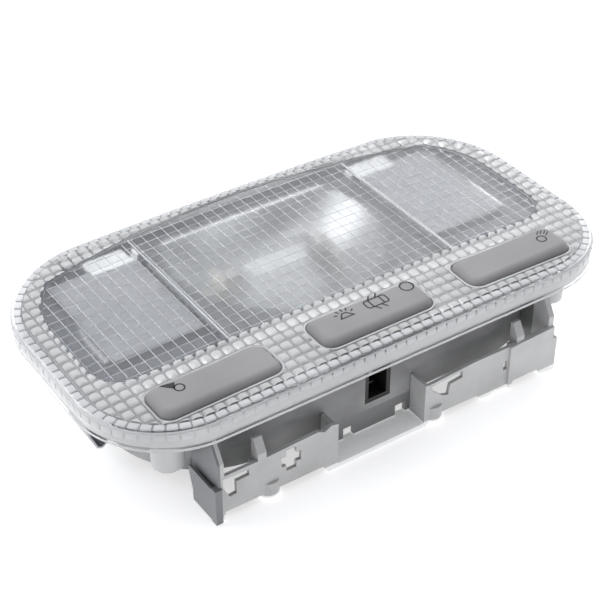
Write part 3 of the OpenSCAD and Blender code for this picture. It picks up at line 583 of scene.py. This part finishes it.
def rounded_block(name, low, high, front_corner, back_corner, steps):
    """A block with its upright edges rounded, the front ones and the back ones apart."""
    block = plain_block(name, low, high)
    middle = (low[1] + high[1]) / 2
    bpy.ops.object.mode_set(mode="EDIT")
    select_parts(block, "EDGE", lambda edge: is_upright(edge) and edge.verts[0].co.y < middle)
    bpy.ops.mesh.bevel(offset=front_corner, segments=steps, affect="EDGES")
    back = max(vertex.co.y for vertex in bmesh.from_edit_mesh(block.data).verts) - hair
    select_parts(block, "EDGE", lambda edge: is_upright(edge) and edge.verts[0].co.y > back)
    bpy.ops.mesh.bevel(offset=back_corner, segments=steps, affect="EDGES")
    bpy.ops.object.mode_set(mode="OBJECT")
    return block


def round_edges(block, wanted, radius, steps):
    """Round the edges of a block that pass a test."""
    bpy.ops.object.select_all(action="DESELECT")
    bpy.context.view_layer.objects.active = block
    block.select_set(True)
    bpy.ops.object.mode_set(mode="EDIT")
    select_parts(block, "EDGE", wanted)
    bpy.ops.mesh.bevel(offset=radius, segments=steps, affect="EDGES")
    bpy.ops.object.mode_set(mode="OBJECT")


def work(body, tool, operation):
    """Join, cut or trim a body with a tool, which is used up."""
    bpy.ops.object.select_all(action="DESELECT")
    bpy.context.view_layer.objects.active = body
    bpy.ops.object.modifier_add(type="BOOLEAN")
    step = body.modifiers[-1]
    step.operation = operation
    step.object = tool
    step.solver = "MANIFOLD"
    bpy.ops.object.modifier_apply(modifier=step.name)
    bpy.data.objects.remove(tool, do_unlink=True)


def lens_block(name, inset, low_z, high_z):
    """The plan of the lens, drawn in by a width, between two heights."""
    return rounded_block(
        name, (lens_low.x + inset, lens_low.y + inset, low_z),
        (lens_high.x - inset, lens_high.y - inset, high_z),
        lens_front_corner - inset, lens_back_corner - inset, steps=20)


def field_block(name, grow, low_z, high_z):
    """The plan of the windows, whose back edge is bowed, between two heights."""
    block = rounded_block(
        name, (field_low.x - grow, field_low.y - grow, low_z),
        (field_high.x + grow, field_high.y + grow, high_z),
        field_front_corner + grow, field_back_corner + grow, steps=20)
    overshoot = 0.01
    bpy.ops.object.select_all(action="DESELECT")
    bpy.ops.mesh.primitive_cylinder_add(
        vertices=512, radius=field_bow + grow, depth=high_z - low_z + overshoot,
        location=(0, field_high.y - field_bow, (low_z + high_z) / 2))
    work(block, bpy.context.object, "INTERSECT")
    return block


def opening_block(name, x, grow, low_z, high_z):
    """The plan of one key opening, grown by a width, between two heights."""
    return rounded_block(
        name, (x - opening_half[0] - grow, key_row - opening_half[1] - grow, low_z),
        (x + opening_half[0] + grow, key_row + opening_half[1] + grow, high_z),
        opening_corner + grow, opening_corner + grow, steps=10)


def in_windows(x, y, grow=0.0):
    """Whether a place in plan lies inside the windows, grown by a margin."""
    corner = field_back_corner if y > 0 else field_front_corner
    end = field_high.y if y > 0 else -field_low.y
    past_x = abs(x) - (field_high.x - corner)
    past_y = abs(y) - (end - corner)
    if past_x > 0 and past_y > 0:
        return math.hypot(past_x, past_y) < corner + grow
    return past_x < corner + grow and past_y < corner + grow


def join_copies(first, places):
    """Copy a piece to each (x, y, z, turn), each copy with its own mesh, and join them."""
    copies = []
    for x, y, z, turn in places:
        piece = first.copy()
        piece.data = first.data.copy()
        piece.location = (x, y, z)
        piece.rotation_euler = (0, 0, turn)
        bpy.context.scene.collection.objects.link(piece)
        copies.append(piece)
    bpy.data.objects.remove(first, do_unlink=True)
    bpy.ops.object.select_all(action="DESELECT")
    for piece in copies:
        piece.select_set(True)
    bpy.context.view_layer.objects.active = copies[0]
    bpy.ops.object.join()
    bpy.ops.object.transform_apply(location=True, rotation=True, scale=True)
    return bpy.context.object


# face and skirt: the upper edge is rounded over, the lower edge has a lip, and
# the underside, which is the level face with many corners, is hollowed out
lens = rounded_block("lens_moulding", lens_low, lens_high,
                     lens_front_corner, lens_back_corner, steps=28)
finish_all_over(lens, lens_clear)
bpy.ops.object.mode_set(mode="EDIT")
select_parts(lens, "EDGE", lambda edge: lowest(edge) > lens_high.z - hair)
bpy.ops.mesh.bevel(offset=upper_edge_radius, segments=3, affect="EDGES")
bpy.ops.mesh.select_all(action="SELECT")
bpy.ops.mesh.bisect(plane_co=(0, 0, lens_low.z + lip_height), plane_no=(0, 0, 1))
select_parts(lens, "FACE", lambda face: abs(face.normal.z) < upright
             and highest(face) < lens_low.z + lip_height + hair)
bpy.ops.mesh.extrude_region_shrink_fatten(
    TRANSFORM_OT_shrink_fatten={"value": lip_width, "use_even_offset": True})
select_parts(lens, "FACE", lambda face: face.normal.z < -level and len(face.verts) > 8)
bpy.ops.mesh.inset(thickness=lens_wall)
bpy.ops.mesh.extrude_region_move(
    TRANSFORM_OT_translate={"value": (0, 0, lens_high.z - lens_low.z - lens_wall)})
bpy.ops.object.mode_set(mode="OBJECT")

# the skirt is milky, its rounded edge and inner back are darkened with painted
# shade, and the inside of the face spreads light
inner_back_from = 0.015
facing_front = -0.1
for face in lens.data.polygons:
    if abs(face.normal.z) < level:
        skirt_finish = bead_clear
        outside = face.normal.x * face.center.x + face.normal.y * face.center.y > 0
        if outside and abs(face.normal.z) > slanting:
            skirt_finish = rim_clear_painted_shade
        elif not outside and face.center.y > inner_back_from and face.normal.y < facing_front:
            skirt_finish = seam_clear_painted_shade
        face.material_index = lens_finishes.index(skirt_finish)
    elif face.normal.z < 0 and face.center.z > lens_high.z - lens_wall - hair:
        face.material_index = lens_finishes.index(pillow_optics)

# square optics: two sets of fine grooves with slanting sides cross the windows,
# more than enough of them, so only those inside the windows are kept
groove_lines = range(-24, 25)
for along, across in ((0, 1), (1, 0)):
    half_groove = Vector((0, 0, 0))
    half_groove[along] = groove_half_width
    half_groove[across] = groove_half_length
    groove = plain_block("optic_groove", -half_groove - Vector((0, 0, groove_depth)),
                         half_groove + Vector((0, 0, groove_top)))
    bpy.ops.object.mode_set(mode="EDIT")
    select_parts(groove, "FACE", lambda face: face.normal.z < -level)
    narrowed = [1, 1, 1]
    narrowed[along] = groove_taper
    bpy.ops.transform.resize(value=narrowed)
    bpy.ops.object.mode_set(mode="OBJECT")
    finish_all_over(groove, optic_edge)
    places = []
    for i in groove_lines:
        place = [0, 0, lens_high.z, 0]
        place[along] = optic_start[along] + i * optic_step[along]
        if field_low[along] < place[along] < field_high[along]:
            places.append(place)
    grooves = join_copies(groove, places)
    work(grooves, field_block("optic_limit", -optic_clearance, tool_low, tool_high), "INTERSECT")
    work(lens, grooves, "DIFFERENCE")

# beads of the border: low cushions on a straight grid, trimmed by the row at
# the edge, the windows and the key openings; none are made where the windows
# would trim them away whole
bead_half = (bead_step[0] / 2 - bead_gap, bead_step[1] / 2 - bead_gap)
cushion = plain_block("bead", (-bead_half[0], -bead_half[1], -bead_root),
                      (bead_half[0], bead_half[1], bead_height))
round_edges(cushion, lambda edge: highest(edge) > 0, bead_radius, steps=3)
finish_all_over(cushion, bead_clear)
bead_columns = range(-26, 27)
bead_rows = range(-8, 19)
window_margin = 0.006
places = []
for i in bead_columns:
    for j in bead_rows:
        x = bead_start[0] + (i + 0.5) * bead_step[0]
        y = bead_start[1] + (j + 0.5) * bead_step[1]
        off_lens = abs(x) > lens_high.x + lip_width or abs(y) > lens_high.y + lip_width
        if not off_lens and not in_windows(x, y, -window_margin):
            places.append((x, y, lens_high.z, 0))
beads = join_copies(cushion, places)
work(beads, lens_block("bead_limit", edge_row_inset + edge_row_gap, tool_low, tool_high), "INTERSECT")
work(beads, field_block("window_limit", bead_clearance, tool_low, tool_high), "DIFFERENCE")
for x in key_places:
    work(beads, opening_block("opening_limit", x, bead_clearance, tool_low, tool_high), "DIFFERENCE")
work(lens, beads, "UNION")

# one more row of beads follows the outline on the face, and a row of upright
# ones goes on below it round the skirt
edge_bead = plain_block(
    "edge_bead", (-edge_bead_half, 0, -edge_bead_root),
    (edge_bead_half, edge_row_inset - edge_row_start, edge_bead_height))
skirt_bead = plain_block(
    "skirt_bead", (-skirt_bead_half, -edge_row_start - skirt_bead_out, skirt_bead_low),
    (skirt_bead_half, skirt_bead_in - edge_row_start, skirt_bead_high))
# the outline beads take the rim finish, darkened with painted shade
for bead, radius in ((edge_bead, edge_bead_radius), (skirt_bead, skirt_bead_radius)):
    round_edges(bead, lambda edge: True, radius, steps=2)
    finish_all_over(bead, rim_clear_painted_shade)
corner_steps = 60
corner_step = 1.5
outline = []
for corner, radius, start in (
        ((lens_high.x - lens_front_corner, lens_low.y + lens_front_corner), lens_front_corner, -90),
        ((lens_high.x - lens_back_corner, lens_high.y - lens_back_corner), lens_back_corner, 0),
        ((lens_low.x + lens_back_corner, lens_high.y - lens_back_corner), lens_back_corner, 90),
        ((lens_low.x + lens_front_corner, lens_low.y + lens_front_corner), lens_front_corner, 180)):
    for step in range(corner_steps + 1):
        angle = math.radians(start + corner_step * step)
        outline.append(Vector((corner[0] + (radius - edge_row_start) * math.cos(angle),
                               corner[1] + (radius - edge_row_start) * math.sin(angle))))
outline.append(outline[0])
lengths = [(b - a).length for a, b in zip(outline, outline[1:])]
outline_length = sum(lengths)
bead_count = round(outline_length / bead_step[0])
places = []
for i in range(bead_count):
    distance = (i + 0.5) * outline_length / bead_count
    for a, b, length in zip(outline, outline[1:], lengths):
        if distance <= length:
            break
        distance -= length
    spot = a + (b - a) * distance / length
    places.append((spot.x, spot.y, lens_high.z, math.atan2(b.y - a.y, b.x - a.x)))
work(lens, join_copies(edge_bead, places), "UNION")
work(lens, join_copies(skirt_bead, places), "UNION")

# ribs round the windows and between them, and the lips of the key openings
rim = field_block("window_rim", rib_width, rib_root, lens_high.z + rib_height)
finish_all_over(rim, bead_clear)
work(rim, field_block("window_inside", 0, tool_low, tool_high), "DIFFERENCE")
work(lens, rim, "UNION")
divider_front = field_low.y - divider_overlap
for x in (-divider_x, divider_x):
    divider = plain_block("window_divider", (x - divider_width / 2, divider_front, rib_root),
                          (x + divider_width / 2, divider_back, lens_high.z + rib_height / 2))
    finish_all_over(divider, optic_edge)
    work(lens, divider, "UNION")
for x in key_places:
    lip = opening_block("opening_lip", x, lip_width, rib_root, lens_high.z + rib_height)
    finish_all_over(lip, optic_edge)
    work(lens, lip, "UNION")
    opening = opening_block("opening", x, 0, opening_low, opening_high)
    finish_all_over(opening, optic_edge)
    work(lens, opening, "DIFFERENCE")

# the seams between the beads are darkened with painted shade
for face in lens.data.polygons:
    on_face = face.normal.z > level and abs(face.center.z - lens_high.z) < hair
    if on_face and not in_windows(face.center.x, face.center.y):
        face.material_index = lens_finishes.index(seam_clear_painted_shade)

# the face is crowned along its length; the lower edge of the skirt stays level
crown = lens.vertex_groups.new(name="crown")
crowned = [vertex.index for vertex in lens.data.vertices if vertex.co.z > crown_from]
crown.add(crowned, 1.0, "REPLACE")
bpy.ops.object.select_all(action="DESELECT")
bpy.ops.object.empty_add(location=(0, 0, lens_high.z), rotation=(math.pi / 2, 0, 0))
crown_axis = bpy.context.object
bpy.context.view_layer.objects.active = lens
bpy.ops.object.modifier_add(type="SIMPLE_DEFORM")
bend = lens.modifiers[-1]
bend.deform_method = "BEND"
bend.deform_axis = "Z"
bend.origin = crown_axis
bend.vertex_group = "crown"
bend.angle = -(lens.dimensions.x / crown_radius)
bpy.ops.object.modifier_apply(modifier=bend.name)
bpy.data.objects.remove(crown_axis, do_unlink=True)
lens.select_set(True)
bpy.ops.object.shade_smooth_by_angle(angle=math.radians(40))
while len(lens.data.materials) > len(lens_finishes):
    lens.data.materials.pop()
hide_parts("lens")
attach(lens, "lamp")

# Three keys in warm grey plastic stand in the openings of the lens. Each is a
# thin cap with softly rounded edges; the end ones press in at their outer
# ends and the middle one rocks both ways.
key_half = (0.0201, 0.0070)
key_corner = 0.0036
key_height = 0.0062
key_wall = 0.0013
key_roof = 0.0015
key_stand = 0.0024
key_edge_radius = 0.0026
key_tops = tuple(lens_high.z - (crown_radius - math.sqrt(crown_radius ** 2 - x * x)) + key_stand
                 for x in key_places)
key_plastic = moulded_finish(
    "key_plastic", (0.275, 0.272, 0.280), (0.312, 0.308, 0.316), 0.33, 0.0008, 0.06)
shader_of(key_plastic).inputs["Specular IOR Level"].default_value = 0.35
for name, body, x, top in zip(("key_left", "key_middle", "key_right"),
                              ("key_left_body", "key_middle_body", "key_right_body"),
                              key_places, key_tops):
    cap = rounded_block(
        name + "_cap", (x - key_half[0], key_row - key_half[1], top - key_height),
        (x + key_half[0], key_row + key_half[1], top), key_corner, key_corner, steps=12)
    bpy.ops.object.mode_set(mode="EDIT")
    select_parts(cap, "EDGE", lambda edge: lowest(edge) > top - hair)
    bpy.ops.mesh.bevel(offset=key_edge_radius, segments=8, affect="EDGES")
    select_parts(cap, "FACE", lambda face: face.normal.z < -level)
    bpy.ops.mesh.inset(thickness=key_wall)
    bpy.ops.mesh.extrude_region_move(
        TRANSFORM_OT_translate={"value": (0, 0, key_height - key_roof)})
    bpy.ops.object.mode_set(mode="OBJECT")
    bpy.ops.object.shade_smooth_by_angle(angle=math.radians(50))
    cap.data.materials.clear()
    cap.data.materials.append(key_plastic)
    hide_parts(name)
    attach(cap, body)

# Dark signs are pad printed on the keys: a lamp with its beam on the left one,
# a shining lamp, a car with open doors and a ring on the middle one, and a
# ring with four rays on the right one.
ink_thickness = 0.00003
ink_line = 0.0005
ray_width = 0.0004
beam_narrow = 0.0003
beam_wide = 0.0030
sign_ink = moulded_finish(
    "sign_ink", (0.030, 0.031, 0.033), (0.060, 0.061, 0.064), 0.55, 0.0006, 0.05)


def printed_ring(x, y, z, radius):
    """A flat printed ring."""
    bpy.ops.object.select_all(action="DESELECT")
    bpy.ops.mesh.primitive_circle_add(vertices=40, radius=radius, fill_type="NGON")
    ring = bpy.context.object
    bpy.ops.object.mode_set(mode="EDIT")
    bpy.ops.mesh.inset(thickness=ink_line)
    bpy.ops.mesh.delete(type="FACE")
    bpy.ops.mesh.select_all(action="SELECT")
    bpy.ops.mesh.extrude_region_move(TRANSFORM_OT_translate={"value": (0, 0, ink_thickness)})
    bpy.ops.mesh.select_all(action="SELECT")
    bpy.ops.mesh.normals_make_consistent(inside=False)
    bpy.ops.object.mode_set(mode="OBJECT")
    ring.location = (x, y, z)
    bpy.ops.object.transform_apply(location=True, rotation=True, scale=True)
    return ring


def printed_bar(start, end, z, width, end_width=None):
    """A flat printed stroke between two points, which may widen towards its end."""
    start, end = Vector((*start, 0)), Vector((*end, 0))
    length = (end - start).length
    bar = plain_block("stroke", (0, -width / 2, 0), (length, width / 2, ink_thickness))
    if end_width is not None:
        bpy.ops.object.mode_set(mode="EDIT")
        select_parts(bar, "FACE", lambda face: face.normal.x > hair)
        bpy.ops.transform.resize(value=(1, end_width / width, 1))
        bpy.ops.object.mode_set(mode="OBJECT")
    bar.rotation_euler = (0, 0, math.atan2(end.y - start.y, end.x - start.x))
    bar.location = (start.x, start.y, z)
    bpy.ops.object.transform_apply(location=True, rotation=True, scale=True)
    return bar


def printed_bars(middle_x, middle_y, z, width, strokes):
    """Printed strokes, each from one (x, y) to another, measured from the middle of a drawing."""
    return [printed_bar((middle_x + start_x, middle_y + start_y),
                        (middle_x + end_x, middle_y + end_y), z, width)
            for (start_x, start_y), (end_x, end_y) in strokes]


def finish_print(name, marks, body):
    """Join the marks of one key into a single print that moves with the key."""
    bpy.ops.object.select_all(action="DESELECT")
    for mark in marks:
        mark.select_set(True)
    bpy.context.view_layer.objects.active = marks[0]
    bpy.ops.object.join()
    sign = bpy.context.object
    sign.name = name
    sign.data.materials.clear()
    sign.data.materials.append(sign_ink)
    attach(sign, body)


left, middle, right = key_places
left_top, middle_top, right_top = key_tops

# the lamp and its beam, a wedge with its wide end at the lamp
finish_print("left_key_sign", [
    printed_ring(left - 0.0104, key_row + 0.0016, left_top, 0.00175),
    printed_bar((left - 0.0149, key_row + 0.0051), (left - 0.0111, key_row + 0.0031), left_top,
                beam_narrow, beam_wide),
], "key_left_body")

# the ring and its rays
rays = (
    ((0.0002, 0.0026), (0.0018, 0.0038)),
    ((0.0014, 0.0024), (0.0030, 0.0036)),
    ((0.0024, 0.0018), (0.0040, 0.0030)),
    ((0.0024, 0.0007), (0.0044, 0.0021)),
)
ring_x, ring_y = right + 0.0132, key_row + 0.0005
finish_print("right_key_sign", [
    printed_ring(ring_x, ring_y, right_top, 0.0018),
    *printed_bars(ring_x, ring_y, right_top, ray_width, rays),
], "key_right_body")

# the lamp: foot, left side, top and right side of its shade, then five rays
shining_lamp = (
    ((-0.0026, -0.0004), (0.0026, -0.0004)),
    ((-0.0022, -0.0003), (-0.0008, 0.0018)),
    ((-0.0009, 0.0017), (0.0007, 0.0017)),
    ((0.0006, 0.0018), (0.0022, -0.0003)),
    ((-0.0024, 0.0015), (-0.0034, 0.0020)),
    ((-0.0014, 0.0024), (-0.0020, 0.0036)),
    ((0.0, 0.0026), (0.0, 0.0039)),
    ((0.0012, 0.0024), (0.0019, 0.0036)),
    ((0.0024, 0.0014), (0.0034, 0.0021)),
)

# the car, seen from above: both sides, the nose and the tail with their
# corners, windscreen and rear window, then four open doors
open_car = (
    ((-0.0033, 0.0018), (0.0033, 0.0018)),
    ((-0.0033, -0.0018), (0.0033, -0.0018)),
    ((-0.0039, -0.0012), (-0.0039, 0.0012)),
    ((-0.0039, -0.0012), (-0.0032, -0.0019)),
    ((-0.0039, 0.0012), (-0.0032, 0.0019)),
    ((0.0039, -0.0012), (0.0039, 0.0012)),
    ((0.0039, -0.0012), (0.0032, -0.0019)),
    ((0.0039, 0.0012), (0.0032, 0.0019)),
    ((-0.0020, -0.0017), (-0.0020, 0.0017)),
    ((0.0020, -0.0017), (0.0020, 0.0017)),
    ((-0.0018, 0.0018), (-0.0004, 0.0036)),
    ((0.0008, 0.0018), (0.0022, 0.0036)),
    ((-0.0018, -0.0018), (-0.0006, -0.0038)),
    ((0.0006, -0.0018), (0.0018, -0.0038)),
)
finish_print("middle_key_sign", [
    *printed_bars(middle - 0.0075, key_row + 0.0014, middle_top, ink_line, shining_lamp),
    *printed_bars(middle + 0.0040, key_row + 0.0024, middle_top, ink_line, open_car),
    printed_ring(middle + 0.0163, key_row + 0.0035, middle_top, 0.0024),
], "key_middle_body")
